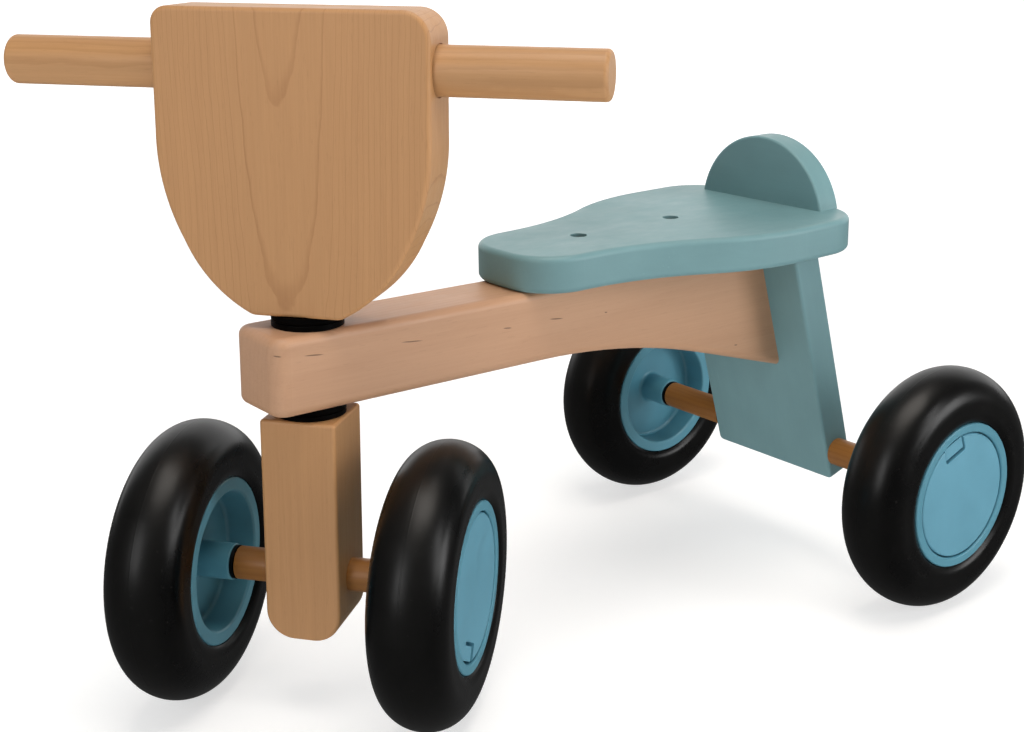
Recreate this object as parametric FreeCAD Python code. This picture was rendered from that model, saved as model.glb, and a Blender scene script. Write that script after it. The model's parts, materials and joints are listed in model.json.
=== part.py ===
import FreeCAD, Part
import math
import os

V = FreeCAD.Vector

# Four-wheeled wooden balance bike for a toddler. All sizes in millimetres.
# +X points forward, +Y to the rider's left, +Z up. The floor is Z = 0.
# The steering stands turned to the rider's left by STEER_REST.

# overall layout
STEER_X = 175.9
WHEELBASE = 385.9
REAR_X = STEER_X - WHEELBASE
AXLE_Z = 80.0
FRONT_HALF_TRACK = 73.8
REAR_HALF_TRACK = 136.6
STEER_REST = 38.25
STEER_LOCK = 45.0

# wheels
TYRE_R = 80.0
TYRE_HALF_W = 22.5
TYRE_CROWN_R = 60.6
TYRE_SIDE_R = 54.0
TYRE_SHOULDER_R = 8.46
TYRE_GAP = 0.3
RIM_FLANGE_R = 47.9
RIM_SEAT_R = 45.0
RIM_SEAT_HALF_W = 18.0
RIM_OUTER_Y = 21.3
RIM_INNER_Y = -20.4
RIM_DISH_R = 39.8
RIM_DISH_Y = -2.0
RIM_WEB_Y = 4.0
CAP_POCKET_R = 41.9
CAP_POCKET_Y = 15.5
NUT_POCKET_R = 36.0
CAP_R = 41.1
CAP_T = 5.2
CAP_EDGE_R = 1.6
CAP_RING_T = 2.2
CAP_RING_H = 6.0
CAP_NOTCH_W = 20.2
CAP_NOTCH_DEPTH = 11.3
CAP_NOTCH_FLOOR = 4.3
CAP_TAB_GAP = 2.2
CAP_TAB_SIDE_GAP = 1.2
CAP_TAB_DROP = 0.9
CAP_NOTCH_ANGLE = {"front_left": -61.0, "front_right": 130.0, "rear_left": 70.5, "rear_right": -20.0}
BOSS_R = 10.4
BOSS_Y = -25.4
BUSH_R = 6.0
BUSH_FLANGE_R = 9.6
BUSH_FLANGE_T = 2.0
ROD_R = 4.0
RUNNING_FIT = 0.05
SIDE_PLAY = 0.3

# axle spacers and fasteners
SLEEVE_R = 9.4
WASHER_T = 1.6
NUT_AF = 13.0
NUT_H = 7.5
ROD_END = 14.8

# beam
BEAM_HALF_W = 23.0
BEAM_FRONT_X = STEER_X + 33.4
BEAM_TOP_Z = 224.8
BEAM_BOTTOM_Z = 181.0
BEAM_CURVE_X = STEER_X - 150.0
BEAM_CURVE_R = 470.0
BEAM_SLOPE = 16.2
BEAM_EDGE_R = 5.0
BEAM_NOSE_R = 9.0

# rear leg
LEG_TILT = 16.5
LEG_T = 22.5
LEG_FRONT = 9.75
LEG_HALF_W = 53.5
LEG_BELOW_AXLE = 18.0
LEG_CORNER_R = 3.5
LEG_EDGE_R = 2.0
LEG_BOLT_HEIGHTS = [100.0, 135.0]
LEG_BOLT_HEAD_H = 3.2

# seat, drawn flat with its nose at the origin and then tilted
SEAT_NOSE_X = STEER_X - 131.0
SEAT_TILT = 1.35
SEAT_T = 22.5
SEAT_LENGTH = 245.5
SEAT_NOSE_R = 32.0
SEAT_NOSE_FLAT = 9.0
SEAT_HALF_W = 79.5
SEAT_REAR_R = 35.0
SEAT_HIP_X = 182.0
SEAT_WAIST_SHARE = 0.55
SEAT_EDGE_R = 3.5
SEAT_BOLT_X = [-62.8, -141.2]
SEAT_BOLT_HEAD_H = 2.6
SEAT_BOLT_HEAD_DROP = 1.6
INSERT_R = 5.0
INSERT_TOP = -0.5
INSERT_BOTTOM = -16.0
BACKREST_X = -234.2
BACKREST_T = 18.0
BACKREST_HALF_W = 53.5
BACKREST_H = 43.6
BACKREST_EDGE_R = 1.5
BACKREST_SCREW_Y = 28.0
BACKREST_SCREW_TOP = 2.0

# head of the bike: post, bushings and discs
POST_R = 11.0
POST_BOTTOM_Z = 95.0
POST_TOP_Z = 345.0
DISC_R = 19.8
FLANGE_T = 3.3
BUSHING_R = 14.0
BUSHING_L = 20.0
STOP_PIN_R = 2.0
STOP_PIN_ORBIT = 16.2
STOP_SLOT_DEPTH = 2.4
DISC_EDGE_R = 0.6

# steering block
BLOCK_HALF_X = 21.0
BLOCK_HALF_Y = 21.7
BLOCK_BOTTOM_Z = 46.6
BLOCK_TOP_Z = 174.6
BLOCK_CORNER_R = 16.0
BLOCK_EDGE_R = 2.0

# shield and handlebar
SHIELD_HALF_T = 18.1
SHIELD_HALF_W = 75.9
SHIELD_TOP_Z = 394.6
SHIELD_BOTTOM_Z = 231.9
SHIELD_SIDE_Z = 330.0
SHIELD_SHOULDER = (72.8, 299.0)
SHIELD_FLANK = (62.2, 271.0)
SHIELD_CHEEK = (47.2, 248.5)
SHIELD_FOOT_HALF_W = 24.6
SHIELD_CORNER_LEFT_R = 15.0
SHIELD_CORNER_RIGHT_R = 9.0
SHIELD_FOOT_R = 9.0
SHIELD_EDGE_R = 2.5
BAR_R = 13.35
BAR_SEAT_R = 13.55
BAR_GROOVE_W = 0.6
BAR_GROOVE_DEPTH = 1.2
BAR_HALF_L = 165.2
BAR_Z = 363.3
BAR_END_R = 2.5
SHIELD_SCREW_Z = [262.0, 318.0]
SHIELD_SCREW_L = 22.0
BAR_SCREW_L = 24.0
BLOCK_SCREW_Z = 140.0
BLOCK_SCREW_L = 24.0
REAR_SCREW_DROP = 0.8
POCKET_R = 4.5
POCKET_DEPTH = 3.4


def save(name, shape):
    """Write one STEP file per node."""
    shape.exportStep("parts/" + name + ".step")


def solid_from(edges, direction):
    """Extrude a closed outline."""
    return Part.Face(Part.Wire(edges)).extrude(direction)


def chain(points):
    """Straight edges through a list of points, closed."""
    return Part.makePolygon(points + [points[0]]).Edges


def arc(a, middle, b):
    """Arc through three points."""
    return Part.Arc(a, middle, b).toShape()


def line(a, b):
    """Straight edge."""
    return Part.makeLine(a, b)


def y_rod(radius, y0, y1, x=0.0, z=0.0):
    """Cylinder along Y between two stations."""
    return Part.makeCylinder(radius, y1 - y0, V(x, y0, z), V(0, 1, 0))


def y_ring(r_out, r_in, y0, y1):
    """Ring about the Y axis."""
    return y_rod(r_out, y0, y1).cut(y_rod(r_in, y0 - 1, y1 + 1))


def z_rod(radius, z0, z1, x=0.0, y=0.0):
    """Cylinder along Z between two heights."""
    return Part.makeCylinder(radius, z1 - z0, V(x, y, z0), V(0, 0, 1))


def round_rims(shape, radius, rims):
    """Fillet the circular edges named by (radius, station along Y)."""
    picked = []
    for edge in shape.Edges:
        if not isinstance(edge.Curve, Part.Circle):
            continue
        for r, y in rims:
            if abs(edge.Curve.Radius - r) < 0.01 and abs(edge.Curve.Center.y - y) < 0.01:
                picked.append(edge)
    return shape.makeFillet(radius, picked)


def hexagon(across_flats, height):
    """Hexagonal prism standing on Z = 0."""
    corner = across_flats / math.sqrt(3.0)
    points = []
    for i in range(6):
        angle = math.radians(60 * i)
        points.append(V(corner * math.cos(angle), corner * math.sin(angle), 0))
    return solid_from(chain(points), V(0, 0, height))


def socket_screw(head_r, head_h, shank_r, length, socket_af):
    """Button-head screw along Z: head top at Z = 0, shank pointing down."""
    head = z_rod(head_r, -head_h, 0)
    head = head.makeFillet(head_h * 0.45, [e for e in head.Edges if e.BoundBox.ZMin > -0.01])
    shank = z_rod(shank_r, -head_h - length, -head_h)
    shank = shank.makeChamfer(shank_r * 0.3, [e for e in shank.Edges if e.BoundBox.ZMax < -length])
    socket = hexagon(socket_af, head_h * 0.65)
    socket.translate(V(0, 0, -head_h * 0.65))
    return head.fuse(shank).removeSplitter().cut(socket)


# placements

def on_seat(shape):
    """Move from the flat seat frame to the bike."""
    moved = shape.copy()
    moved.rotate(V(0, 0, 0), V(0, 1, 0), SEAT_TILT)
    moved.translate(V(SEAT_NOSE_X, 0, BEAM_TOP_Z))
    return moved


def on_leg(shape):
    """Move from the leg frame, upright with the axle at the origin, to the bike."""
    moved = shape.copy()
    moved.rotate(V(0, 0, 0), V(0, 1, 0), LEG_TILT)
    moved.translate(V(REAR_X, 0, AXLE_Z))
    return moved


def on_steering(shape):
    """Move from the steering frame, straight ahead with its axis at the origin, to the bike."""
    moved = shape.copy()
    moved.rotate(V(0, 0, 0), V(0, 0, 1), STEER_REST)
    moved.translate(V(STEER_X, 0, 0))
    return moved


def at_axle(shape, side, half_track):
    """Move from the wheel frame, outer face towards +Y, to one end of an axle."""
    moved = shape.copy()
    if side < 0:
        moved.rotate(V(0, 0, 0), V(0, 0, 1), 180)
    moved.translate(V(0, side * half_track, AXLE_Z))
    return moved


def at_rear(shape):
    """Move an axle from the origin to the rear of the bike."""
    moved = shape.copy()
    moved.translate(V(REAR_X, 0, 0))
    return moved


# wheel pieces in the wheel frame

def make_tyre():
    """Solid rubber tyre with a full round crown and flat sides."""
    crown = Part.Ellipse(V(TYRE_CROWN_R, TYRE_HALF_W, 0), V(TYRE_R, 0, 0), V(TYRE_CROWN_R, 0, 0))
    edges = [Part.ArcOfEllipse(crown, 0, math.pi).toShape()]
    lip_r = RIM_FLANGE_R + TYRE_GAP
    sweep = math.asin((TYRE_SIDE_R - lip_r) / TYRE_SHOULDER_R)
    for side in (1, -1):
        turned = []
        for angle in (0, sweep / 2, sweep):
            r = TYRE_SIDE_R - TYRE_SHOULDER_R * math.sin(angle)
            y = TYRE_HALF_W - TYRE_SHOULDER_R * (1 - math.cos(angle))
            turned.append(V(r, side * y, 0))
        lip = V(lip_r, side * RIM_SEAT_HALF_W, 0)
        seat = V(RIM_SEAT_R, side * RIM_SEAT_HALF_W, 0)
        edges.append(line(V(TYRE_CROWN_R, side * TYRE_HALF_W, 0), turned[0]))
        edges.append(arc(turned[0], turned[1], turned[2]))
        edges.append(line(turned[2], lip))
        edges.append(line(lip, seat))
    edges.append(line(V(RIM_SEAT_R, -RIM_SEAT_HALF_W, 0), V(RIM_SEAT_R, RIM_SEAT_HALF_W, 0)))
    return Part.Face(Part.Wire(Part.__sortEdges__(edges))).revolve(V(0, 0, 0), V(0, 1, 0), 360)


def make_rim():
    """Moulded wheel centre: dished inside, pocketed outside, with a long boss."""
    outline = [
        V(BUSH_R, BOSS_Y, 0),
        V(BOSS_R, BOSS_Y, 0),
        V(BOSS_R, RIM_DISH_Y, 0),
        V(RIM_DISH_R, RIM_DISH_Y, 0),
        V(RIM_DISH_R, RIM_INNER_Y, 0),
        V(RIM_FLANGE_R, RIM_INNER_Y, 0),
        V(RIM_FLANGE_R, -RIM_SEAT_HALF_W, 0),
        V(RIM_SEAT_R, -RIM_SEAT_HALF_W, 0),
        V(RIM_SEAT_R, RIM_SEAT_HALF_W, 0),
        V(RIM_FLANGE_R, RIM_SEAT_HALF_W, 0),
        V(RIM_FLANGE_R, RIM_OUTER_Y, 0),
        V(CAP_POCKET_R, RIM_OUTER_Y, 0),
        V(CAP_POCKET_R, CAP_POCKET_Y, 0),
        V(NUT_POCKET_R, CAP_POCKET_Y, 0),
        V(NUT_POCKET_R, RIM_WEB_Y, 0),
        V(BUSH_R, RIM_WEB_Y, 0),
    ]
    rim = Part.Face(Part.Wire(chain(outline))).revolve(V(0, 0, 0), V(0, 1, 0), 360)
    rim = round_rims(rim, 2.5, [(BOSS_R, RIM_DISH_Y), (RIM_DISH_R, RIM_DISH_Y)])
    rim = round_rims(rim, 1.2, [(RIM_FLANGE_R, RIM_OUTER_Y), (RIM_FLANGE_R, RIM_INNER_Y)])
    rim = round_rims(rim, 1.2, [(CAP_POCKET_R, RIM_OUTER_Y)])
    rim = round_rims(rim, 1.5, [(RIM_DISH_R, RIM_INNER_Y)])
    return round_rims(rim, 0.8, [(BOSS_R, BOSS_Y)])


def make_cap(notch_angle):
    """Snap-in cover disc: a springy tab stands in a notch, a short ring behind."""
    face_y = CAP_POCKET_Y + CAP_T
    disc = y_rod(CAP_R, CAP_POCKET_Y, face_y)
    disc = round_rims(disc, CAP_EDGE_R, [(CAP_R, face_y)])
    ring_r = NUT_POCKET_R - SIDE_PLAY
    ring = y_ring(ring_r, ring_r - CAP_RING_T, CAP_POCKET_Y - CAP_RING_H, CAP_POCKET_Y)
    notch = Part.makeBox(2 * CAP_NOTCH_DEPTH, CAP_T, CAP_NOTCH_W)
    inner_x = CAP_R - CAP_NOTCH_DEPTH
    notch.translate(V(inner_x, face_y - CAP_NOTCH_FLOOR, -CAP_NOTCH_W / 2))
    inner = [e for e in notch.Edges if e.BoundBox.XMax < inner_x + 1 and e.BoundBox.YLength > 1]
    notch = notch.makeFillet(2.0, inner)
    tab_half_w = CAP_NOTCH_W / 2 - CAP_TAB_SIDE_GAP
    tab = Part.makeBox(CAP_NOTCH_DEPTH - CAP_TAB_GAP - 1.0, CAP_NOTCH_FLOOR - CAP_TAB_DROP, 2 * tab_half_w)
    tab.translate(V(inner_x + CAP_TAB_GAP, face_y - CAP_NOTCH_FLOOR, -tab_half_w))
    notch = notch.cut(tab)
    notch.rotate(V(0, 0, 0), V(0, 1, 0), -notch_angle)
    return disc.fuse(ring).removeSplitter().cut(notch)


def make_bush():
    """Flanged liner pressed into the wheel boss."""
    tube = y_rod(BUSH_R, BOSS_Y, RIM_WEB_Y + 0.2)
    flange = y_rod(BUSH_FLANGE_R, BOSS_Y - BUSH_FLANGE_T, BOSS_Y)
    bore = y_rod(ROD_R + RUNNING_FIT, BOSS_Y - 5, RIM_WEB_Y + 5)
    return tube.fuse(flange).removeSplitter().cut(bore)


def make_washer():
    """Steel washer between the wheel and its nut."""
    start = RIM_WEB_Y + 0.2 + SIDE_PLAY
    return y_ring(8.0, ROD_R, start, start + WASHER_T)


def make_lock_nut():
    """Hexagonal nut with a round collar."""
    start = RIM_WEB_Y + 0.2 + SIDE_PLAY + WASHER_T
    nut = hexagon(NUT_AF, NUT_H - 1.8)
    nut = nut.common(Part.makeCone(7.1, 9.1, NUT_H - 1.8))
    nut = nut.fuse(z_rod(5.8, NUT_H - 1.8, NUT_H)).removeSplitter()
    nut.rotate(V(0, 0, 0), V(1, 0, 0), -90)
    nut.translate(V(0, start, 0))
    return nut.cut(y_rod(ROD_R, start - 1, start + NUT_H + 1))


def make_rod(half_track):
    """Threaded axle rod through both wheels."""
    half = half_track + ROD_END
    rod = y_rod(ROD_R, -half, half)
    rod = rod.makeChamfer(0.8, [e for e in rod.Edges if e.BoundBox.YLength < 0.01])
    rod.translate(V(0, 0, AXLE_Z))
    return rod


def make_sleeve(side, inner, half_track):
    """Wooden spacer tube on the axle, from the woodwork to the wheel."""
    outer = half_track + BOSS_Y - BUSH_FLANGE_T - SIDE_PLAY
    sleeve = y_rod(SLEEVE_R, inner, outer)
    sleeve = round_rims(sleeve, 1.0, [(SLEEVE_R, outer)])
    sleeve = sleeve.cut(y_rod(ROD_R, inner - 1, outer + 1))
    if side < 0:
        sleeve.rotate(V(0, 0, 0), V(0, 0, 1), 180)
    sleeve.translate(V(0, 0, AXLE_Z))
    return sleeve


def wheel_set(prefix, half_track, place):
    """Both wheels of one axle with their nuts and washers."""
    for name, side in (("left", 1), ("right", -1)):
        save(prefix + "_tyre_" + name, place(at_axle(make_tyre(), side, half_track)))
        save(prefix + "_rim_" + name, place(at_axle(make_rim(), side, half_track)))
        cap = make_cap(CAP_NOTCH_ANGLE[prefix + "_" + name])
        save(prefix + "_hub_cap_" + name, place(at_axle(cap, side, half_track)))
        save(prefix + "_wheel_bush_" + name, place(at_axle(make_bush(), side, half_track)))
    washers = [place(at_axle(make_washer(), side, half_track)) for side in (1, -1)]
    nuts = [place(at_axle(make_lock_nut(), side, half_track)) for side in (1, -1)]
    save(prefix + "_axle_washers", Part.makeCompound(washers))
    save(prefix + "_axle_lock_nuts", Part.makeCompound(nuts))
    save(prefix + "_axle_rod", place(make_rod(half_track)))


# seat pieces in the seat frame

def bend(centre_x, centre_y, radius, start, end, side):
    """Arc in the XY plane by angles in degrees; side -1 mirrors it across the X axis."""
    points = []
    for angle in (start, (start + end) / 2, end):
        turn = math.radians(angle)
        points.append(V(centre_x + radius * math.cos(turn), side * (centre_y + radius * math.sin(turn)), 0))
    return arc(points[0], points[1], points[2])


def seat_outline():
    """Waisted seat outline: round nose, wide round-cornered back."""
    nose_x = -SEAT_NOSE_R
    neck_y = SEAT_NOSE_FLAT + SEAT_NOSE_R
    hip_x = -SEAT_HIP_X
    widening = SEAT_HALF_W - neck_y
    radii = ((nose_x - hip_x) ** 2 + widening ** 2) / (2 * widening)
    sweep = math.degrees(math.asin((nose_x - hip_x) / radii))
    waist_r = SEAT_WAIST_SHARE * radii
    hip_r = radii - waist_r
    rear_x = -SEAT_LENGTH
    corner_x = rear_x + SEAT_REAR_R
    corner_y = SEAT_HALF_W - SEAT_REAR_R
    edges = [line(V(0, -SEAT_NOSE_FLAT, 0), V(0, SEAT_NOSE_FLAT, 0))]
    for side in (1, -1):
        edges.append(bend(nose_x, SEAT_NOSE_FLAT, SEAT_NOSE_R, 0, 90, side))
        edges.append(bend(nose_x, neck_y + waist_r, waist_r, 270, 270 - sweep, side))
        edges.append(bend(hip_x, SEAT_HALF_W - hip_r, hip_r, 90 - sweep, 90, side))
        edges.append(line(V(hip_x, side * SEAT_HALF_W, 0), V(corner_x, side * SEAT_HALF_W, 0)))
        edges.append(bend(corner_x, corner_y, SEAT_REAR_R, 90, 180, side))
    edges.append(line(V(rear_x, -corner_y, 0), V(rear_x, corner_y, 0)))
    return Part.__sortEdges__(edges)


def make_seat_bolt(x):
    """Bolt through the seat, its head sunk below the top."""
    bolt = socket_screw(4.7, SEAT_BOLT_HEAD_H, 3.0, 46.0, 4.0)
    bolt.translate(V(x, 0, SEAT_T - SEAT_BOLT_HEAD_DROP))
    return bolt


def make_backrest_screw(y):
    """Screw from under the seat up into the backrest."""
    screw = socket_screw(4.0, 2.4, 2.0, 36.0, 3.0)
    screw.rotate(V(0, 0, 0), V(1, 0, 0), 180)
    screw.translate(V(BACKREST_X, y, BACKREST_SCREW_TOP))
    return screw


def make_seat_board(bolts, screws):
    """Seat board with rounded edges and sunk holes."""
    board = solid_from(seat_outline(), V(0, 0, SEAT_T))
    rims = [e for e in board.Edges if e.BoundBox.ZLength < 0.01]
    board = board.makeFillet(SEAT_EDGE_R, rims)
    for x in SEAT_BOLT_X:
        board = board.cut(z_rod(5.25, SEAT_T - SEAT_BOLT_HEAD_DROP - SEAT_BOLT_HEAD_H, SEAT_T + 1, x))
    for screw in screws:
        centre = screw.BoundBox.Center
        board = board.cut(z_rod(4.4, -1, BACKREST_SCREW_TOP + 2.4, centre.x, centre.y))
    for item in bolts + screws:
        board = board.cut(item)
    return board


def make_backrest(screws):
    """Low half-round stop standing on the back of the seat."""
    crown = V(0, 0, BACKREST_H)
    left = V(0, BACKREST_HALF_W, 0)
    right = V(0, -BACKREST_HALF_W, 0)
    radius = (BACKREST_HALF_W ** 2 + BACKREST_H ** 2) / (2 * BACKREST_H)
    drop = BACKREST_H - radius
    side_y = radius * math.cos(math.radians(35))
    side = V(0, side_y, drop + radius * math.sin(math.radians(35)))
    rest = solid_from([line(left, right), arc(right, crown, left)], V(-BACKREST_T, 0, 0))
    curved = [e for e in rest.Edges if e.BoundBox.ZMax > side.z and e.BoundBox.XLength < 0.01]
    rest = rest.makeFillet(BACKREST_EDGE_R, curved)
    rest.translate(V(BACKREST_X + BACKREST_T / 2, 0, SEAT_T))
    for screw in screws:
        rest = rest.cut(screw)
    return rest


# frame pieces

def leg_bolts():
    """Two bolts through the leg into the end of the beam."""
    bolts = []
    for height in LEG_BOLT_HEIGHTS:
        bolt = socket_screw(5.5, LEG_BOLT_HEAD_H, 3.0, 54.0, 4.0)
        bolt.rotate(V(0, 0, 0), V(0, 1, 0), -90)
        bolt.translate(V(LEG_FRONT - LEG_T - LEG_BOLT_HEAD_H, 0, height))
        bolts.append(on_leg(bolt))
    return bolts


def above_seat_underside():
    """Everything above the plane the seat lies on."""
    block = Part.makeBox(500, 300, 200)
    block.translate(V(-450, -150, 0))
    return on_seat(block)


def make_beam(cutters):
    """Main beam: flat at the head, arched underneath, square against the leg."""
    slope = math.radians(BEAM_SLOPE)
    reach = 150.0
    arc_dx = BEAM_CURVE_R * math.sin(slope)
    arc_dz = BEAM_CURVE_R * (1 - math.cos(slope))
    mid_dx = BEAM_CURVE_R * math.sin(slope / 2)
    mid_dz = BEAM_CURVE_R * (1 - math.cos(slope / 2))
    rise = math.tan(math.radians(SEAT_TILT))
    rear_x = BEAM_CURVE_X - arc_dx - reach
    y = -BEAM_HALF_W
    front_low = V(BEAM_FRONT_X, y, BEAM_BOTTOM_Z)
    front_high = V(BEAM_FRONT_X, y, BEAM_TOP_Z)
    nose = V(SEAT_NOSE_X, y, BEAM_TOP_Z)
    rear_high = V(rear_x, y, BEAM_TOP_Z + rise * (SEAT_NOSE_X - rear_x))
    arc_end = V(BEAM_CURVE_X - arc_dx, y, BEAM_BOTTOM_Z - arc_dz)
    rear_low = V(rear_x, y, arc_end.z - reach * math.tan(slope))
    arc_mid = V(BEAM_CURVE_X - mid_dx, y, BEAM_BOTTOM_Z - mid_dz)
    arc_start = V(BEAM_CURVE_X, y, BEAM_BOTTOM_Z)
    edges = [line(front_low, front_high), line(front_high, nose), line(nose, rear_high)]
    edges.append(line(rear_high, rear_low))
    edges.append(line(rear_low, arc_end))
    edges.append(arc(arc_end, arc_mid, arc_start))
    edges.append(line(arc_start, front_low))
    beam = solid_from(edges, V(0, 2 * BEAM_HALF_W, 0))
    upright = [e for e in beam.Edges if e.BoundBox.XMin > BEAM_FRONT_X - 1 and e.BoundBox.ZLength > 1]
    beam = beam.makeFillet(BEAM_NOSE_R, upright)
    rounded = []
    for edge in beam.Edges:
        box = edge.BoundBox
        upright = box.XLength < 0.01 and box.ZLength > 1
        across = box.YLength > 1 and box.XMin < BEAM_FRONT_X - BEAM_NOSE_R - 1
        if not upright and not across:
            rounded.append(edge)
    beam = beam.makeFillet(BEAM_EDGE_R, rounded)
    behind_leg_front = Part.makeBox(400, 200, 400)
    behind_leg_front.translate(V(-400 + LEG_FRONT, -100, -100))
    beam = beam.cut(on_leg(behind_leg_front))
    for cutter in cutters:
        beam = beam.cut(cutter)
    return beam


def make_leg(cutters):
    """Rear board carrying the axle, leaning forward to meet the beam."""
    leg = Part.makeBox(LEG_T, 2 * LEG_HALF_W, 220)
    leg.translate(V(LEG_FRONT - LEG_T, -LEG_HALF_W, -LEG_BELOW_AXLE))
    corners = [e for e in leg.Edges if e.BoundBox.XLength > 1 and e.BoundBox.ZMax < 0]
    leg = leg.makeFillet(LEG_CORNER_R, corners)
    rims = [e for e in leg.Edges if e.BoundBox.XLength < 0.01 and e.BoundBox.ZMin < 190]
    leg = leg.makeFillet(LEG_EDGE_R, rims)
    leg = on_leg(leg).cut(above_seat_underside())
    for cutter in cutters:
        leg = leg.cut(cutter)
    return leg


def head_bushing(upper):
    """Flanged black bushing pressed into the beam for the post to turn in."""
    if upper:
        flange = z_rod(DISC_R, BEAM_TOP_Z, BEAM_TOP_Z + FLANGE_T)
        tube = z_rod(BUSHING_R, BEAM_TOP_Z - BUSHING_L, BEAM_TOP_Z)
        rim_z = BEAM_TOP_Z + FLANGE_T
    else:
        flange = z_rod(DISC_R, BEAM_BOTTOM_Z - FLANGE_T, BEAM_BOTTOM_Z)
        tube = z_rod(BUSHING_R, BEAM_BOTTOM_Z, BEAM_BOTTOM_Z + BUSHING_L)
        rim_z = BEAM_BOTTOM_Z - FLANGE_T
    rims = [e for e in flange.Edges if abs(e.BoundBox.ZMax - rim_z) < 0.01 and e.BoundBox.ZLength < 0.01]
    flange = flange.makeFillet(DISC_EDGE_R, rims)
    bush = flange.fuse(tube).removeSplitter()
    bush = bush.cut(z_rod(POST_R + RUNNING_FIT, 0, 400))
    bush.translate(V(STEER_X, 0, 0))
    return bush


def stop_pin():
    """Pin under the beam that limits the steering."""
    pin = z_rod(STOP_PIN_R, BEAM_BOTTOM_Z - FLANGE_T - SIDE_PLAY - STOP_SLOT_DEPTH + 0.4, BEAM_BOTTOM_Z + 10)
    pin.translate(V(STEER_X - STOP_PIN_ORBIT, 0, 0))
    return pin


# steering pieces in the steering frame

def upper_disc():
    """Black disc between the shield and the upper bushing."""
    disc = z_rod(DISC_R, BEAM_TOP_Z + FLANGE_T + SIDE_PLAY, SHIELD_BOTTOM_Z)
    disc = disc.makeFillet(DISC_EDGE_R, [e for e in disc.Edges if e.BoundBox.ZMax < SHIELD_BOTTOM_Z - 1])
    return disc.cut(z_rod(POST_R, 0, 400))


def lower_disc():
    """Black disc on the block with the curved slot that limits the steering."""
    top = BEAM_BOTTOM_Z - FLANGE_T - SIDE_PLAY
    disc = z_rod(DISC_R, BLOCK_TOP_Z, top)
    disc = disc.makeFillet(DISC_EDGE_R, [e for e in disc.Edges if e.BoundBox.ZMin > BLOCK_TOP_Z + 1])
    disc = disc.cut(z_rod(POST_R, 0, 400))
    half = STOP_PIN_R + 0.4
    swing = STEER_LOCK + 1.0
    base = V(0, 0, top - STOP_SLOT_DEPTH)
    slot = Part.makeCylinder(STOP_PIN_ORBIT + half, 10, base, V(0, 0, 1), 2 * swing)
    slot = slot.cut(z_rod(STOP_PIN_ORBIT - half, 0, 400))
    slot.rotate(V(0, 0, 0), V(0, 0, 1), 180 - swing)
    for angle in (180 - swing, 180 + swing):
        x = STOP_PIN_ORBIT * math.cos(math.radians(angle))
        y = STOP_PIN_ORBIT * math.sin(math.radians(angle))
        slot = slot.fuse(z_rod(half, base.z, base.z + 10, x, y))
    return disc.cut(slot)


def rear_face_screw(x, z, length):
    """Sunk wood screw driven forward from a rear face."""
    screw = socket_screw(4.2, 2.6, 2.2, length, 3.0)
    screw.rotate(V(0, 0, 0), V(0, 1, 0), -90)
    screw.translate(V(x + REAR_SCREW_DROP, 0, z))
    return screw


def screw_pocket(x, z):
    """Round pocket for a sunk screw head."""
    return Part.makeCylinder(POCKET_R, POCKET_DEPTH + 2.0, V(x - 2.0, 0, z), V(1, 0, 0))


def make_block(cutters):
    """Steering block between the front wheels, rounded at the bottom."""
    block = Part.makeBox(2 * BLOCK_HALF_X, 2 * BLOCK_HALF_Y, BLOCK_TOP_Z - BLOCK_BOTTOM_Z)
    block.translate(V(-BLOCK_HALF_X, -BLOCK_HALF_Y, BLOCK_BOTTOM_Z))
    corners = [e for e in block.Edges if e.BoundBox.XLength > 1 and e.BoundBox.ZMax < BLOCK_BOTTOM_Z + 1]
    block = block.makeFillet(BLOCK_CORNER_R, corners)
    rims = []
    for edge in block.Edges:
        box = edge.BoundBox
        if box.XLength < 0.01 or box.ZMin > BLOCK_TOP_Z - 1:
            rims.append(edge)
    block = block.makeFillet(BLOCK_EDGE_R, rims)
    block = block.cut(screw_pocket(-BLOCK_HALF_X, BLOCK_SCREW_Z))
    for cutter in cutters:
        block = block.cut(cutter)
    return block


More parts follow.
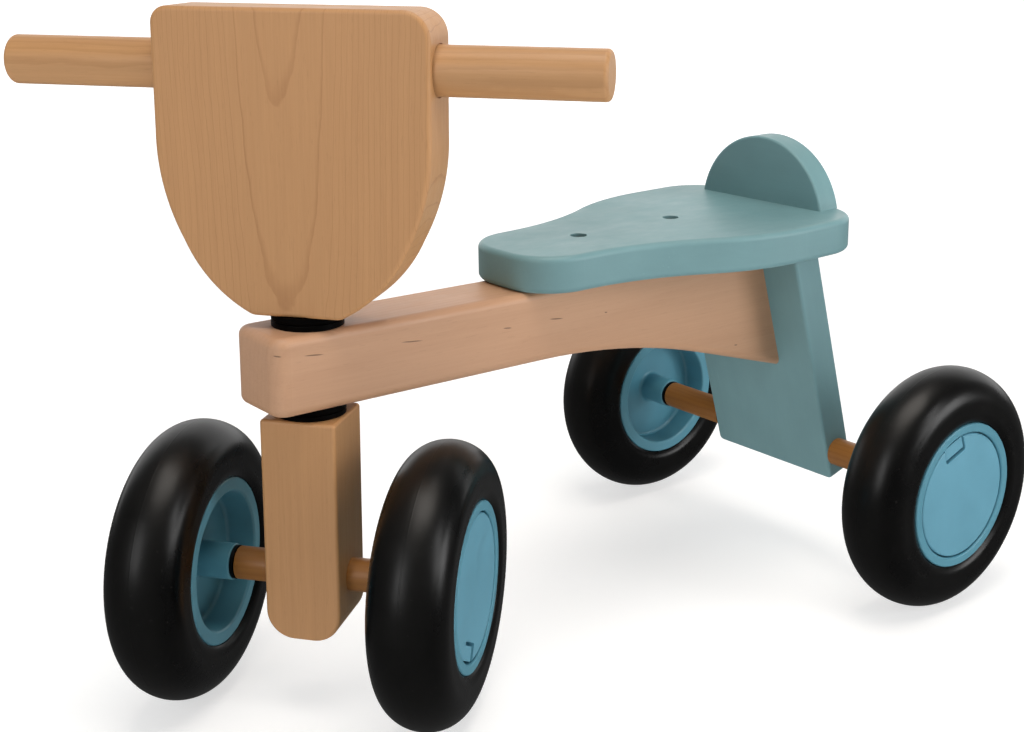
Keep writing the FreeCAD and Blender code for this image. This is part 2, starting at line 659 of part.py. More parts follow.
def make_shield(cutters):
    """Front board shaped like a shield, holding the handlebar."""
    x = -SHIELD_HALF_T
    edges = [line(V(x, SHIELD_HALF_W, SHIELD_TOP_Z), V(x, -SHIELD_HALF_W, SHIELD_TOP_Z))]
    for side in (1, -1):
        top = V(x, side * SHIELD_HALF_W, SHIELD_TOP_Z)
        waist = V(x, side * SHIELD_HALF_W, SHIELD_SIDE_Z)
        shoulder = V(x, side * SHIELD_SHOULDER[0], SHIELD_SHOULDER[1])
        flank = V(x, side * SHIELD_FLANK[0], SHIELD_FLANK[1])
        cheek = V(x, side * SHIELD_CHEEK[0], SHIELD_CHEEK[1])
        foot = V(x, side * SHIELD_FOOT_HALF_W, SHIELD_BOTTOM_Z)
        edges.append(line(top, waist))
        edges.append(arc(waist, shoulder, flank))
        edges.append(arc(flank, cheek, foot))
    edges.append(line(V(x, -SHIELD_FOOT_HALF_W, SHIELD_BOTTOM_Z), V(x, SHIELD_FOOT_HALF_W, SHIELD_BOTTOM_Z)))
    shield = solid_from(Part.__sortEdges__(edges), V(2 * SHIELD_HALF_T, 0, 0))
    for side, radius in ((1, SHIELD_CORNER_LEFT_R), (-1, SHIELD_CORNER_RIGHT_R)):
        corner = []
        for edge in shield.Edges:
            box = edge.BoundBox
            if box.XLength > 1 and box.ZMin > SHIELD_TOP_Z - 1 and side * box.YMin > SHIELD_HALF_W - 1:
                corner.append(edge)
        shield = shield.makeFillet(radius, corner)
    foot = [e for e in shield.Edges if e.BoundBox.XLength > 1 and e.BoundBox.ZMax < SHIELD_BOTTOM_Z + 1]
    shield = shield.makeFillet(SHIELD_FOOT_R, foot)
    rims = [e for e in shield.Edges if e.BoundBox.XLength < 0.01]
    shield = shield.makeFillet(SHIELD_EDGE_R, rims)
    for z in SHIELD_SCREW_Z + [BAR_Z]:
        shield = shield.cut(screw_pocket(-SHIELD_HALF_T, z))
    groove_r = BAR_SEAT_R + BAR_GROOVE_W
    groove_y = SHIELD_HALF_W - BAR_GROOVE_DEPTH
    shield = shield.cut(y_rod(groove_r, groove_y, SHIELD_HALF_W + 1, 0, BAR_Z))
    shield = shield.cut(y_rod(groove_r, -SHIELD_HALF_W - 1, -groove_y, 0, BAR_Z))
    for cutter in cutters:
        shield = shield.cut(cutter)
    return shield


def build():
    """Make every node and write it out."""
    os.makedirs("parts", exist_ok=True)

    # seat
    flat_bolts = [make_seat_bolt(x) for x in SEAT_BOLT_X]
    flat_screws = [make_backrest_screw(y) for y in (BACKREST_SCREW_Y, -BACKREST_SCREW_Y)]
    bolts = [on_seat(b) for b in flat_bolts]
    inserts = []
    insert_holes = []
    for x in SEAT_BOLT_X:
        insert = z_rod(INSERT_R, INSERT_BOTTOM, INSERT_TOP, x)
        inserts.append(on_seat(insert.cut(z_rod(3.0, INSERT_BOTTOM - 1, 5.0, x))))
        insert_holes.append(on_seat(z_rod(INSERT_R, INSERT_BOTTOM, 5.0, x)))
    save("seat_board", on_seat(make_seat_board(flat_bolts, flat_screws)))
    save("seat_backrest", on_seat(make_backrest(flat_screws)))
    save("seat_bolts", Part.makeCompound(bolts))
    save("seat_threaded_inserts", Part.makeCompound(inserts))
    save("backrest_screws", Part.makeCompound([on_seat(s) for s in flat_screws]))

    # beam, leg and head bushings
    upper = head_bushing(True)
    lower = head_bushing(False)
    pin = stop_pin()
    joining = leg_bolts()
    rear_axle_hole = at_rear(y_rod(ROD_R, -100, 100, 0, AXLE_Z))
    post_clearance = z_rod(POST_R + 1.5, 0, 400, STEER_X)
    save("frame_beam", make_beam([post_clearance, upper, lower, pin] + insert_holes + bolts + joining))
    save("rear_leg", make_leg([rear_axle_hole] + joining))
    save("leg_bolts", Part.makeCompound(joining))
    save("upper_head_bushing", upper)
    save("lower_head_bushing", lower.cut(pin))
    save("steering_stop_pin", pin)

    # steering head
    bar = y_rod(BAR_R, -BAR_HALF_L, BAR_HALF_L, 0, BAR_Z)
    bar = bar.makeFillet(BAR_END_R, [e for e in bar.Edges if e.BoundBox.YLength < 0.01])
    bar = bar.fuse(y_rod(BAR_SEAT_R, -SHIELD_HALF_W, SHIELD_HALF_W, 0, BAR_Z)).removeSplitter()
    post = z_rod(POST_R, POST_BOTTOM_Z, POST_TOP_Z)
    post = post.makeChamfer(1.0, [e for e in post.Edges if e.BoundBox.ZLength < 0.01])
    shield_screws = [rear_face_screw(-SHIELD_HALF_T, z, SHIELD_SCREW_L) for z in SHIELD_SCREW_Z]
    bar_screw = rear_face_screw(-SHIELD_HALF_T, BAR_Z, BAR_SCREW_L)
    block_screw = rear_face_screw(-BLOCK_HALF_X, BLOCK_SCREW_Z, BLOCK_SCREW_L)
    front_axle_hole = y_rod(ROD_R, -100, 100, 0, AXLE_Z)
    post_hole = z_rod(POST_R, POST_BOTTOM_Z, POST_TOP_Z)
    save("handlebar_shield", on_steering(make_shield([bar, post_hole, bar_screw] + shield_screws)))
    save("handlebar", on_steering(bar.cut(bar_screw)))
    save("steering_post", on_steering(post.cut(block_screw).cut(shield_screws[0]).cut(shield_screws[1])))
    save("steering_block", on_steering(make_block([post_hole, front_axle_hole, block_screw])))
    save("handlebar_screw", on_steering(bar_screw))
    save("shield_screws", Part.makeCompound([on_steering(s) for s in shield_screws]))
    save("block_screw", on_steering(block_screw))
    save("upper_steering_disc", on_steering(upper_disc()))
    save("lower_steering_disc", on_steering(lower_disc()))

    # axles and wheels
    for name, side in (("left", 1), ("right", -1)):
        front = make_sleeve(side, BLOCK_HALF_Y, FRONT_HALF_TRACK)
        rear = make_sleeve(side, LEG_HALF_W, REAR_HALF_TRACK)
        save("front_axle_sleeve_" + name, on_steering(front))
        save("rear_axle_sleeve_" + name, at_rear(rear))
    wheel_set("front", FRONT_HALF_TRACK, on_steering)
    wheel_set("rear", REAR_HALF_TRACK, at_rear)


build()
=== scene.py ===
import json
import math

import bpy
from mathutils import Matrix, Vector

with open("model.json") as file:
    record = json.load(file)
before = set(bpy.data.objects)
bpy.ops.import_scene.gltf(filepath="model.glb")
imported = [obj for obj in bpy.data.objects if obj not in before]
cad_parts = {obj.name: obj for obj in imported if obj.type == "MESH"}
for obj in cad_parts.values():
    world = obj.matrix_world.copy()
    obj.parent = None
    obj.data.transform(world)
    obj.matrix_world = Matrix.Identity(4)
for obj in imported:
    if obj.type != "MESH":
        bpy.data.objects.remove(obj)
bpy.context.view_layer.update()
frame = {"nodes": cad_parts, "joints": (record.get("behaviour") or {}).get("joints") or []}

NODES = frame["nodes"]
JOINTS = {joint["name"]: joint for joint in frame["joints"]}

# Wooden balance bike: +X forward, +Y to the rider's left, +Z up, metres.
X = Vector((1, 0, 0))
Y = Vector((0, 1, 0))
Z = Vector((0, 0, 1))

# places and directions at rest, from the joints
FRONT_AXLE = Vector(JOINTS["front_wheel_left_spin"]["axis"])
REAR_WHEEL = Vector(JOINTS["rear_wheel_left_spin"]["pos_m"])
AXLE_Z = REAR_WHEEL.z
REAR_AXLE_MIDDLE = Vector((REAR_WHEEL.x, 0, AXLE_Z))
STEERING = Vector(JOINTS["steering_turn"]["pos_m"])
HEAD = Vector((STEERING.x, STEERING.y, 0))
TURN = Matrix.Rotation(math.atan2(-FRONT_AXLE.x, FRONT_AXLE.y), 3, "Z")
LEG_LEAN = 16.5
LEAN = Matrix.Rotation(math.radians(LEG_LEAN), 3, "Y")


# materials
def shade(colour, factor=1.0, lift=0.0):
    """The colour times factor, plus lift, with full opacity."""
    return tuple(min(1.0, part * factor + lift) for part in colour) + (1.0,)


class Look:
    """One procedural material, built node by node."""

    def __init__(self, name):
        self.material = bpy.data.materials.new(name)
        self.material.use_nodes = True
        self.tree = self.material.node_tree
        self.tree.nodes.clear()
        self.out = self.tree.nodes.new("ShaderNodeOutputMaterial")
        self.shader = self.tree.nodes.new("ShaderNodeBsdfPrincipled")
        self.tree.links.new(self.shader.outputs[0], self.out.inputs[0])

    def plug(self, socket, value):
        if isinstance(value, bpy.types.NodeSocket):
            self.tree.links.new(value, socket)
        else:
            socket.default_value = value

    def add(self, kind, inputs, **settings):
        node = self.tree.nodes.new("ShaderNode" + kind)
        for key, value in settings.items():
            setattr(node, key, value)
        for key, value in inputs.items():
            self.plug(node.inputs[key], value)
        return node

    def set(self, **values):
        for key, value in values.items():
            self.plug(self.shader.inputs[key.replace("_", " ")], value)

    def math(self, operation, a, b=0.0, c=0.0):
        return self.add("Math", {0: a, 1: b, 2: c}, operation=operation).outputs[0]

    def frame(self, origin, along, across):
        """Coordinates from origin: along, across, and the axis square to both."""
        turn = Matrix((along, across, along.cross(across))).transposed().to_euler()
        coordinates = self.add("TexCoord", {}).outputs["Object"]
        mapping = self.add("Mapping", {0: coordinates, 1: origin, 2: turn}, vector_type="TEXTURE")
        return mapping.outputs[0]

    def split(self, vector):
        return self.add("SeparateXYZ", {0: vector}).outputs

    def radius(self, parts):
        """Distance from the first axis."""
        squares = [self.math("POWER", part, 2.0) for part in (parts[1], parts[2])]
        return self.math("SQRT", self.math("ADD", *squares))

    def noise(self, vector, scale, detail, rough, shift=(0.0, 0.0, 0.0)):
        """Noise with its own number of waves per metre along each axis."""
        stretched = self.add("Mapping", {0: vector, 1: shift, 3: scale}).outputs[0]
        inputs = {"Vector": stretched, "Scale": 1.0, "Detail": detail, "Roughness": rough}
        return self.add("TexNoise", inputs).outputs[0]

    def remap(self, value, low, high, to_low=0.0, to_high=1.0, smooth=False):
        kind = "SMOOTHSTEP" if smooth else "LINEAR"
        inputs = {0: value, 1: low, 2: high, 3: to_low, 4: to_high}
        return self.add("MapRange", inputs, interpolation_type=kind).outputs[0]

    def mix(self, factor, a, b, blend="MIX"):
        """Blend of two colours, whose sockets are 6 and 7 on a Mix node."""
        node = self.tree.nodes.new("ShaderNodeMix")
        node.data_type = "RGBA"
        node.blend_type = blend
        self.plug(node.inputs[0], factor)
        self.plug(node.inputs[6], a)
        self.plug(node.inputs[7], b)
        return node.outputs[2]

    def cover(self, colour, mask, amount, over):
        """The colour with amount of another laid over it where the mask is."""
        return self.mix(self.math("MULTIPLY", mask, amount), colour, over)

    def bump(self, height, distance):
        return self.add("Bump", {"Height": height, "Distance": distance, "Strength": 1.0}).outputs[0]

    def edges(self, radius):
        """1 on the rounded edges of a piece, 0 on its flats."""
        soft = self.add("Bevel", {"Radius": radius}, samples=4).outputs[0]
        hard = self.add("NewGeometry", {}).outputs["Normal"]
        same = self.add("VectorMath", {0: soft, 1: hard}, operation="DOT_PRODUCT").outputs["Value"]
        return self.remap(same, 0.995, 0.90)


def growth_rings(look, local, seed, pith, slope, ring, wander, line, power, tight):
    """1 on the dark line of each growth ring, and the ripple that the rings share with marks."""
    ripple_size = 0.0007
    least_depth = 0.0005
    unevenness = 0.35
    shift = (seed, seed * 1.7, seed * 2.3)
    parts = look.split(local)
    bend = look.noise(local, (9.0, 26.0, 26.0), 2.0, 0.5, shift)
    bend = look.remap(bend, 0.0, 1.0, -wander, wander)
    ripple = look.noise(local, (60.0, 110.0, 110.0), 2.0, 0.5, shift)
    ripple = look.remap(ripple, 0.0, 1.0, -ripple_size, ripple_size)
    across = look.math("ADD", look.math("ADD", parts[1], pith[0]), bend)
    depth = look.math("MULTIPLY_ADD", parts[0], slope, look.math("ADD", parts[2], pith[1]))
    depth = look.math("MAXIMUM", look.math("ABSOLUTE", depth), least_depth)
    wide = look.math("POWER", look.math("ABSOLUTE", across), power)
    distance = look.math("ADD", wide, look.math("POWER", depth, power))
    distance = look.math("POWER", distance, 1.0 / power)
    distance = look.math("ADD", look.math("ADD", distance, ripple), look.math("MULTIPLY", bend, 0.4))
    count = look.math("DIVIDE", distance, ring)
    if tight:
        beyond = look.math("MAXIMUM", look.math("SUBTRACT", distance, tight[0]), 0.0)
        count = look.math("ADD", count, look.math("DIVIDE", beyond, tight[1]))
    uneven = look.noise(local, (2.0, 9.0, 9.0), 1.0, 0.5, shift)
    uneven = look.remap(uneven, 0.0, 1.0, -unevenness, unevenness)
    phase = look.math("FRACT", look.math("ADD", count, uneven))
    rise = look.remap(phase, 1.0 - line, 1.0 - line * 0.2, smooth=True)
    fall = look.remap(phase, 1.0 - line * 0.15, 1.0, 1.0, 0.0, smooth=True)
    rings = look.math("MULTIPLY", rise, fall)
    patches = look.noise(local, (6.0, 22.0, 22.0), 3.0, 0.6, (seed * 3.1, 0.0, seed))
    strength = look.remap(look.remap(patches, 0.3, 0.7), 0.0, 1.0, 0.55, 1.0)
    return look.math("MULTIPLY", rings, strength), ripple


def dashes(look, local, ripple, marks):
    """1 on each short dark mark, given as its place along, its place across and its half length."""
    half_height = 0.0005
    parts = look.split(local)
    spots = 0.0
    for along, across, half_length in marks:
        past = look.math("SUBTRACT", parts[0], along)
        above = look.math("MULTIPLY_ADD", ripple, 0.8, look.math("SUBTRACT", parts[1], across))
        above = look.math("MULTIPLY_ADD", past, -0.1, above)
        squares = [look.math("POWER", look.math("ABSOLUTE", look.math("DIVIDE", offset, size)), 2.0)
                   for offset, size in ((past, half_length), (above, half_height))]
        spot = look.remap(look.math("ADD", *squares), 0.25, 1.0, 1.0, 0.0, smooth=True)
        spots = look.math("MAXIMUM", spots, spot)
    return spots


def wood(name, at, light, dark, seed, pith, slope, ring, ring_depth, wander,
         line=0.6, power=2.0, tight=None, marks=()):
    """Lacquered solid wood with growth rings, fibres and a few short dark marks.

    at is (origin, along, across); pith is the ring centre's offset across and in depth;
    slope tilts the pith so that rings open into arches on a flat face; ring is their spacing,
    wander their waviness and line the dark share of each; a power above 2 squares them off;
    tight is (distance, spacing) beyond which extra close rings appear.
    """
    look = Look(name)
    local = look.frame(*at)
    shift = (seed, seed * 1.7, seed * 2.3)
    rings, ripple = growth_rings(look, local, seed, pith, slope, ring, wander, line, power, tight)
    fibre = look.noise(local, (20.0, 900.0, 900.0), 4.0, 0.65, shift)
    broad = look.noise(local, (5.0, 150.0, 150.0), 3.0, 0.6, shift)
    fleck = look.remap(look.noise(local, (120.0, 1500.0, 1500.0), 1.0, 0.5, shift), 0.66, 0.74)
    cast = look.noise(local, (3.0, 8.0, 8.0), 2.0, 0.5, (seed, 0.0, 0.0))
    handling = look.noise(local, (55.0, 75.0, 75.0), 3.0, 0.6, (0.0, seed, 0.0))

    colour = look.cover(shade(light), rings, ring_depth, shade(dark))
    colour = look.mix(look.remap(fibre, 0.25, 0.75, 0.0, 0.24), colour, shade(dark))
    colour = look.mix(look.remap(broad, 0.3, 0.7, 0.0, 0.18), colour, shade(light, 1.22))
    colour = look.cover(colour, fleck, 0.12, shade(dark, 0.6))
    height = look.math("ADD", look.math("MULTIPLY", fibre, 0.6), look.math("MULTIPLY", rings, -0.2))
    if marks:
        spots = dashes(look, local, ripple, marks)
        colour = look.cover(colour, spots, 0.8, shade(dark, 0.35))
        height = look.math("SUBTRACT", height, look.math("MULTIPLY", spots, 1.5))
    warm_and_cool = look.mix(cast, shade((0.44, 0.46, 0.48)), shade((0.58, 0.55, 0.52)))
    colour = look.mix(0.3, colour, warm_and_cool, "OVERLAY")
    colour = look.cover(colour, look.edges(0.003), 0.18, shade(light, 1.3))

    gloss = look.remap(fibre, 0.2, 0.8, 0.41, 0.53)
    gloss = look.math("ADD", gloss, look.remap(handling, 0.35, 0.65, -0.03, 0.04))
    look.set(Base_Color=colour, Roughness=gloss, Normal=look.bump(height, 0.00006))
    look.set(Coat_Weight=0.10, Coat_Roughness=0.3, IOR=1.45)
    return look.material


def painted(name, at, base, seed):
    """Satin paint over board: faint grain through it, orange peel, rubbed edges and small scuffs."""
    look = Look(name)
    local = look.frame(*at)
    shift = (seed, seed * 0.6, seed * 1.9)
    grain = look.noise(local, (14.0, 320.0, 320.0), 4.0, 0.6, shift)
    peel = look.noise(local, (520.0, 520.0, 520.0), 2.0, 0.5, shift)
    cloud = look.noise(local, (11.0, 16.0, 16.0), 3.0, 0.55, shift)
    scuff = look.remap(look.noise(local, (38.0, 900.0, 640.0), 2.0, 0.5, (seed, 4.0, 2.0)), 0.69, 0.75)
    where = look.remap(look.noise(local, (17.0, 17.0, 17.0), 2.0, 0.5, (0.0, seed, 9.0)), 0.52, 0.66)
    scuff = look.math("MULTIPLY", scuff, where)
    smear = look.noise(local, (42.0, 60.0, 60.0), 3.0, 0.6, (seed, 1.0, 5.0))

    colour = look.mix(look.remap(cloud, 0.3, 0.7), shade(base, 0.93), shade(base, 1.06, 0.003))
    colour = look.mix(look.remap(grain, 0.35, 0.75, 0.0, 0.14), colour, shade(base, 0.8))
    colour = look.cover(colour, look.edges(0.0035), 0.22, shade(base, 1.45, 0.02))
    colour = look.cover(colour, scuff, 0.35, shade(base, 1.7, 0.04))

    gloss = look.remap(smear, 0.3, 0.7, 0.35, 0.48)
    gloss = look.math("ADD", gloss, look.math("MULTIPLY", scuff, 0.2))
    height = look.math("ADD", grain, look.math("MULTIPLY", peel, 0.45))
    look.set(Base_Color=colour, Roughness=gloss, Normal=look.bump(height, 0.00006), IOR=1.48)
    look.set(Specular_IOR_Level=0.4)
    return look.material


def tyre(name, at, seed):
    """Smooth black rubber: dull bloom, a mould line round the crown and faint dust."""
    look = Look(name)
    local = look.frame(*at)
    shift = (seed, seed * 1.3, seed * 0.7)
    parts = look.split(local)
    seam = look.remap(look.math("ABSOLUTE", parts[0]), 0.0001, 0.0006, 1.0, 0.0, smooth=True)
    crown = look.remap(look.radius(parts), 0.072, 0.0795, smooth=True)
    bloom = look.noise(local, (28.0, 28.0, 28.0), 4.0, 0.6, shift)
    fine = look.noise(local, (900.0, 900.0, 900.0), 2.0, 0.5, shift)
    speck = look.remap(look.noise(local, (420.0, 420.0, 420.0), 1.0, 0.5, shift), 0.72, 0.78)

    colour = look.mix(look.remap(bloom, 0.35, 0.7), shade(RUBBER), shade(RUBBER_BLOOM))
    colour = look.cover(colour, crown, 0.3, shade(RUBBER_CROWN))
    colour = look.cover(colour, speck, 0.25, shade(DUST))

    gloss = look.math("ADD", look.remap(bloom, 0.3, 0.7, 0.24, 0.33), look.math("MULTIPLY", crown, 0.08))
    height = look.math("ADD", look.math("MULTIPLY", fine, 0.12), look.math("MULTIPLY", seam, 0.3))
    look.set(Base_Color=colour, Roughness=gloss, Normal=look.bump(height, 0.00012), IOR=1.5)
    look.set(Specular_IOR_Level=0.26)
    return look.material


def moulded(name, at, base, seed, rough, turned=0.0, shine=0.4):
    """Moulded plastic: fine texture, slight colour drift, hairline scratches and worn edges.

    turned is the depth of the tool's rings about the first axis.
    """
    look = Look(name)
    local = look.frame(*at)
    shift = (seed, seed * 2.1, seed * 0.4)
    cloud = look.noise(local, (24.0, 24.0, 24.0), 3.0, 0.55, shift)
    fine = look.noise(local, (1100.0, 1100.0, 1100.0), 2.0, 0.5, shift)
    scratch = look.remap(look.noise(local, (90.0, 60.0, 1400.0), 1.0, 0.5, shift), 0.70, 0.76)
    rings = look.math("SINE", look.math("MULTIPLY", look.radius(look.split(local)), 9000.0))

    colour = look.mix(look.remap(cloud, 0.3, 0.7), shade(base, 0.93), shade(base, 1.06))
    colour = look.cover(colour, look.edges(0.0012), 0.22, shade(base, 1.5))
    colour = look.cover(colour, scratch, 0.15, shade(base, 1.6))

    gloss = look.remap(cloud, 0.3, 0.7, rough - 0.05, rough + 0.06)
    gloss = look.math("ADD", gloss, look.math("MULTIPLY", scratch, 0.15))
    height = look.math("ADD", look.math("MULTIPLY", fine, 0.6), look.math("MULTIPLY", rings, turned))
    look.set(Base_Color=colour, Roughness=gloss, Normal=look.bump(height, 0.00003), IOR=1.5)
    look.set(Specular_IOR_Level=shine)
    return look.material


def metal(name, at, base, seed, rough=0.32):
    """Plated steel or brass: brushed streaks, dull spots and a little tarnish."""
    look = Look(name)
    local = look.frame(*at)
    shift = (seed, seed * 0.3, seed * 1.1)
    brushed = look.noise(local, (90.0, 1600.0, 1600.0), 3.0, 0.6, shift)
    tarnish = look.remap(look.noise(local, (210.0, 210.0, 210.0), 3.0, 0.6, shift), 0.5, 0.72)

    colour = look.cover(shade(base), tarnish, 0.5, shade(base, 0.5))
    colour = look.mix(look.remap(brushed, 0.3, 0.7, 0.0, 0.2), colour, shade(base, 1.3))

    gloss = look.remap(brushed, 0.3, 0.7, rough - 0.06, rough + 0.08)
    gloss = look.math("ADD", gloss, look.math("MULTIPLY", tarnish, 0.15))
    look.set(Base_Color=colour, Roughness=gloss, Metallic=1.0, Normal=look.bump(brushed, 0.00002))
    return look.material


def paint_nodes(material, *names):
    for name in names:
        mesh = NODES[name].data
        mesh.materials.clear()
        mesh.materials.append(material)


# colours, in linear light
BEAM_LIGHT = (0.515, 0.300, 0.180)
BEAM_DARK = (0.39, 0.205, 0.110)
TAN_LIGHT = (0.500, 0.265, 0.112)
TAN_DARK = (0.31, 0.135, 0.045)
GOLD_LIGHT = (0.500, 0.272, 0.118)
GOLD_DARK = (0.32, 0.145, 0.048)
SLEEVE_LIGHT = (0.30, 0.122, 0.022)
SLEEVE_DARK = (0.19, 0.065, 0.010)
SAGE = (0.168, 0.312, 0.335)
TEAL = (0.085, 0.262, 0.345)
CAP_TEAL = (0.115, 0.320, 0.425)
BLACK = (0.0008, 0.0008, 0.0008)
RUBBER = (0.0015, 0.0015, 0.0015)
RUBBER_BLOOM = (0.0034, 0.0032, 0.0030)
RUBBER_CROWN = (0.008, 0.0077, 0.0073)
DUST = (0.03, 0.028, 0.026)
STEEL = (0.50, 0.50, 0.49)
DARK_STEEL = (0.16, 0.17, 0.17)
BRASS = (0.60, 0.42, 0.16)

# frames of the pieces: origin near the middle, grain direction, across the grain
LEVEL = (Z * 0.2, X, Z)
SHIELD_AT = (HEAD + Z * 0.3, Z, TURN @ -Y)
BLOCK_AT = (HEAD + Z * 0.11, Z, TURN @ -Y)
BAR_AT = (HEAD + Z * 0.3633, TURN @ Y, TURN @ X)
FRONT_AXLE_AT = (HEAD + Z * AXLE_Z, TURN @ Y, TURN @ X)
REAR_AXLE_AT = (REAR_AXLE_MIDDLE, Y, X)
SEAT_AT = (Vector((-0.06, 0, 0.24)), X, Y)
BACKREST_AT = (Vector((-0.186, 0, 0.27)), Y, Z)
LEG_AT = (REAR_AXLE_MIDDLE, LEAN @ Z, Y)

# small dark dashes in the beam: place along, height from the material's origin, half length
BEAM_MARKS = ((0.2066, 0.0159, 0.0018), (0.1862, 0.0137, 0.0068), (0.1235, 0.0104, 0.0080),
              (0.0562, 0.0066, 0.0036), (0.0190, 0.0062, 0.0060), (-0.0205, 0.0040, 0.0013),
              (-0.1372, -0.0375, 0.0017))


def finish_wood():
    """The clear-lacquered boards and dowels."""
    beam = wood("Beam wood", LEVEL, BEAM_LIGHT, BEAM_DARK, seed=3.0, pith=(0.01, 0.11), slope=0.02,
                ring=0.0042, ring_depth=0.16, wander=0.003, line=0.7, marks=BEAM_MARKS)
    paint_nodes(beam, "frame_beam")
    shield = wood("Shield wood", SHIELD_AT, TAN_LIGHT, TAN_DARK, seed=11.0, pith=(-0.004, 0.0044),
                  slope=-0.078, ring=0.0090, ring_depth=0.6, wander=0.0034, line=0.14, power=2.6,
                  tight=(0.031, 0.0042))
    paint_nodes(shield, "handlebar_shield")
    block = wood("Block wood", BLOCK_AT, TAN_LIGHT, TAN_DARK, seed=23.0, pith=(0.05, 0.04),
                 slope=0.02, ring=0.0040, ring_depth=0.09, wander=0.003, line=0.7)
    paint_nodes(block, "steering_block", "steering_post")
    bar = wood("Handlebar wood", BAR_AT, GOLD_LIGHT, GOLD_DARK, seed=31.0, pith=(0.03, 0.02),
               slope=0.015, ring=0.0034, ring_depth=0.30, wander=0.002)
    paint_nodes(bar, "handlebar")
    for end, at, seed in (("front", FRONT_AXLE_AT, 41.0), ("rear", REAR_AXLE_AT, 47.0)):
        sleeve = wood(end.capitalize() + " sleeve wood", at, SLEEVE_LIGHT, SLEEVE_DARK, seed=seed,
                      pith=(0.01, 0.02), slope=0.02, ring=0.003, ring_depth=0.4, wander=0.002)
        paint_nodes(sleeve, end + "_axle_sleeve_left", end + "_axle_sleeve_right")


def finish_paint():
    """The painted seat, backrest and leg."""
    paint_nodes(painted("Saddle paint", SEAT_AT, SAGE, 5.0), "seat_board")
    paint_nodes(painted("Backrest paint", BACKREST_AT, SAGE, 8.0), "seat_backrest")
    paint_nodes(painted("Leg paint", LEG_AT, SAGE, 13.0), "rear_leg")


def finish_fittings():
    """The black plastic of the head, and every screw, bolt, rod and nut."""
    plastic = moulded("Black plastic", BLOCK_AT, BLACK, 2.0, rough=0.5, shine=0.05)
    paint_nodes(plastic, "upper_head_bushing", "lower_head_bushing", "upper_steering_disc",
                "lower_steering_disc")
    steel = metal("Steel fittings", LEVEL, STEEL, 4.0)
    paint_nodes(steel, "backrest_screws", "leg_bolts", "steering_stop_pin", "handlebar_screw",
                "shield_screws", "block_screw", "front_axle_rod", "rear_axle_rod",
                "front_axle_washers", "rear_axle_washers", "front_axle_lock_nuts",
                "rear_axle_lock_nuts")
    paint_nodes(metal("Dark bolt steel", SEAT_AT, DARK_STEEL, 6.0, rough=0.38), "seat_bolts")
    paint_nodes(metal("Insert brass", SEAT_AT, BRASS, 7.0), "seat_threaded_inserts")


def finish_wheels():
    """Tyre, rim, cap and bush of each wheel, laid out from its own hub."""
    seed = 50.0
    for end in ("front", "rear"):
        for side, sign in (("left", 1), ("right", -1)):
            seed += 7.0
            joint = JOINTS[end + "_wheel_" + side + "_spin"]
            at = (Vector(joint["pos_m"]), Vector(joint["axis"]) * sign, Z)
            label = end + " " + side
            rim = moulded("Rim " + label, at, TEAL, seed, rough=0.36, turned=0.1)
            cap = moulded("Cap " + label, at, CAP_TEAL, seed + 1.0, rough=0.38, turned=0.25)
            bush = moulded("Bush " + label, at, BLACK, seed + 2.0, rough=0.4, shine=0.2)
            paint_nodes(tyre("Tyre " + label, at, seed), end + "_tyre_" + side)
            paint_nodes(rim, end + "_rim_" + side)
            paint_nodes(cap, end + "_hub_cap_" + side)
            paint_nodes(bush, end + "_wheel_bush_" + side)


# studio: pale floor, curved backdrops and soft lights
STUDIO_AZIMUTH = 51.3
SHEET_HALF_WIDTH = 7.0
FLOOR_NEAR_EDGE = 4.5
FLOOR_FAR_EDGE = 3.2
BACKDROP_CURVE = 1.5
BACKDROP_TOP = 5.0
CURVE_STEPS = 12


def paper():
    """White studio paper that glows by emission of its own, more strongly far behind the bike."""
    look = Look("Studio paper")
    local = look.frame(Vector((0, 0, 0)), X, Y)
    fibre = look.noise(local, (60.0, 60.0, 60.0), 3.0, 0.6)
    cloud = look.noise(local, (0.6, 0.6, 0.6), 2.0, 0.5)
    tone = look.mix(look.remap(cloud, 0.3, 0.7), shade((0.50, 0.50, 0.50)), shade((0.54, 0.54, 0.535)))
    away = look.add("VectorMath", {0: local}, operation="LENGTH").outputs["Value"]
    # painted glow: the paper emits light, weaker near the bike and stronger far from it, and this light
    # also falls on the bike
    glow = look.remap(away, 0.6, 3.0, 0.62, 0.95, smooth=True)
    look.set(Base_Color=tone, Roughness=0.9, Normal=look.bump(fibre, 0.0001))
    look.set(Emission_Color=(1.0, 1.0, 1.0, 1.0), Emission_Strength=glow)
    return look.material


def sheet(name, profile, material, turned=0.0):
    """Strip of paper from (run, height) stations, square to the view unless turned."""
    facing = Matrix.Rotation(math.radians(STUDIO_AZIMUTH + turned), 3, "Z")
    vertices = []
    faces = []
    for i, (run, height) in enumerate(profile):
        for width in (-SHEET_HALF_WIDTH, SHEET_HALF_WIDTH):
            vertices.append(facing @ Vector((run, width, height)))
        if i:
            faces.append((2 * i - 2, 2 * i - 1, 2 * i + 1, 2 * i))
    mesh = bpy.data.meshes.new(name)
    mesh.from_pydata(vertices, [], faces)
    for polygon in mesh.polygons:
        polygon.use_smooth = True
    mesh.materials.append(material)
    piece = bpy.data.objects.new(name, mesh)
    bpy.context.scene.collection.objects.link(piece)
    return piece


def backdrop_profile():
    """Stations from the floor's far edge, round a quarter circle and up the wall."""
    stations = []
    for i in range(CURVE_STEPS + 1):
        angle = math.radians(90 * i / CURVE_STEPS)
        stations.append((-FLOOR_FAR_EDGE - BACKDROP_CURVE * math.sin(angle),
                         BACKDROP_CURVE - BACKDROP_CURVE * math.cos(angle)))
    stations.append((-FLOOR_FAR_EDGE - BACKDROP_CURVE, BACKDROP_TOP))
    return stations


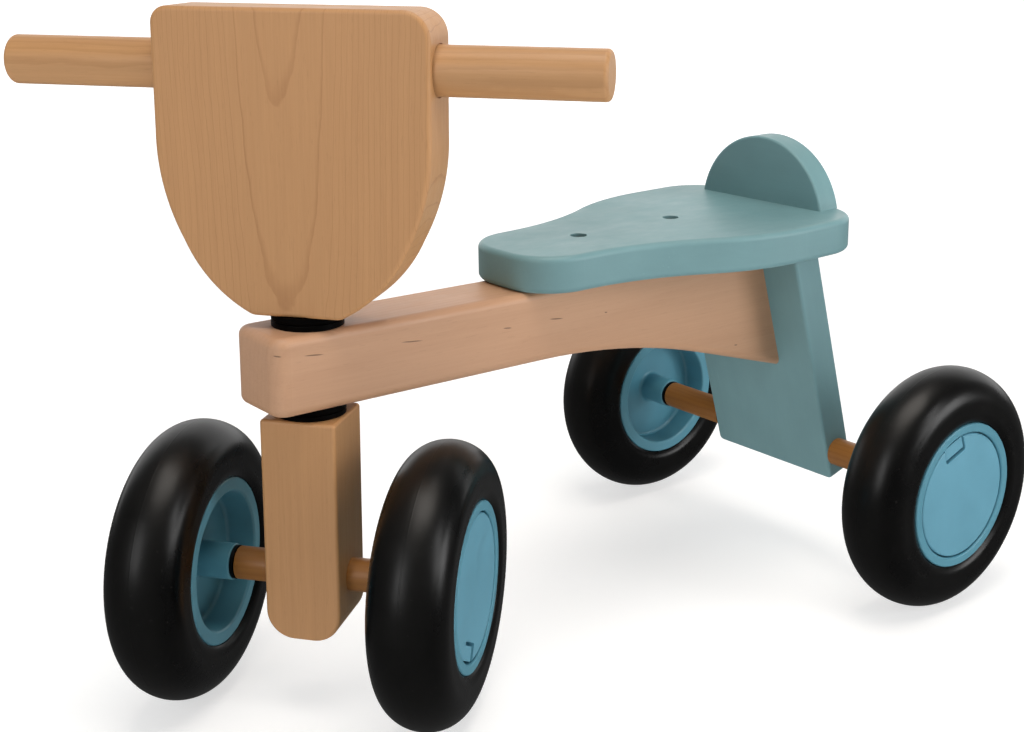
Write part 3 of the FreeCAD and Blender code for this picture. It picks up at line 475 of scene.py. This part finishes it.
def studio():
    """Floor under the bike and curved backdrops round it; only the rear one lights the bike."""
    material = paper()
    floor = sheet("studio floor", [(FLOOR_NEAR_EDGE, 0.0), (-FLOOR_FAR_EDGE, 0.0)], material)
    floor.visible_glossy = False
    rising = backdrop_profile()
    sheet("studio backdrop", rising, material)
    for turned in (90.0, 180.0, 270.0):
        side = sheet("studio side", rising, material, turned)
        side.visible_diffuse = False
        side.visible_glossy = False
        side.visible_shadow = False


def soft_light(name, place, target, width, height, power, colour=(1.0, 1.0, 1.0)):
    data = bpy.data.lights.new(name, "AREA")
    data.shape = "RECTANGLE"
    data.size = width
    data.size_y = height
    data.energy = power
    data.color = colour
    lamp = bpy.data.objects.new(name, data)
    lamp.location = place
    lamp.rotation_euler = (Vector(target) - Vector(place)).to_track_quat("-Z", "Y").to_euler()
    bpy.context.scene.collection.objects.link(lamp)


def lights():
    """Warm overhead panel, three window panels and a faint white world."""
    soft_light("overhead", (0.15, 0.35, 2.5), (0, 0, 0.2), 1.5, 1.5, 42.0, (1.0, 0.94, 0.87))
    soft_light("left window", (-0.9, 2.3, 1.3), (-0.05, 0, 0.2), 0.7, 1.5, 15.0)
    soft_light("back window", (-1.5, 1.9, 0.55), (0.05, 0, 0.25), 0.8, 0.9, 14.0)
    soft_light("front window", (2.5, 0.9, 1.2), (0, 0, 0.2), 0.7, 1.5, 18.0)
    world = bpy.data.worlds.new("studio")
    world.use_nodes = True
    background = world.node_tree.nodes["Background"]
    background.inputs["Color"].default_value = (1.0, 1.0, 1.0, 1.0)
    background.inputs["Strength"].default_value = 0.10
    bpy.context.scene.world = world
    bpy.context.scene.view_settings.view_transform = "Standard"


# camera
CAMERA_PLACE = Vector((0.5804, 0.6932, 0.4411))
CAMERA_AZIMUTH = math.radians(51.31)
CAMERA_ELEVATION = math.radians(13.56)
CAMERA_ROLL = math.radians(0.27)
SENSOR_WIDTH_MM = 36.0
LENS_MM = 53.21
LENS_SHIFT = (-0.0122, -0.0845)


def camera():
    """Camera in front of the bike on the rider's left, level but for a slight roll."""
    back = Vector((math.cos(CAMERA_AZIMUTH) * math.cos(CAMERA_ELEVATION),
                   math.sin(CAMERA_AZIMUTH) * math.cos(CAMERA_ELEVATION),
                   math.sin(CAMERA_ELEVATION)))
    level = Z.cross(back).normalized()
    upright = back.cross(level)
    right = level * math.cos(CAMERA_ROLL) + upright * math.sin(CAMERA_ROLL)
    up = upright * math.cos(CAMERA_ROLL) - level * math.sin(CAMERA_ROLL)
    lens = bpy.data.cameras.new("camera")
    lens.sensor_width = SENSOR_WIDTH_MM
    lens.lens = LENS_MM
    lens.shift_x, lens.shift_y = LENS_SHIFT
    lens.dof.use_dof = False
    viewer = bpy.data.objects.new("camera", lens)
    axes = Matrix((right, up, back)).transposed().to_4x4()
    viewer.matrix_world = Matrix.Translation(CAMERA_PLACE) @ axes
    bpy.context.scene.collection.objects.link(viewer)
    bpy.context.scene.camera = viewer


finish_wood()
finish_paint()
finish_fittings()
finish_wheels()
studio()
lights()
camera()
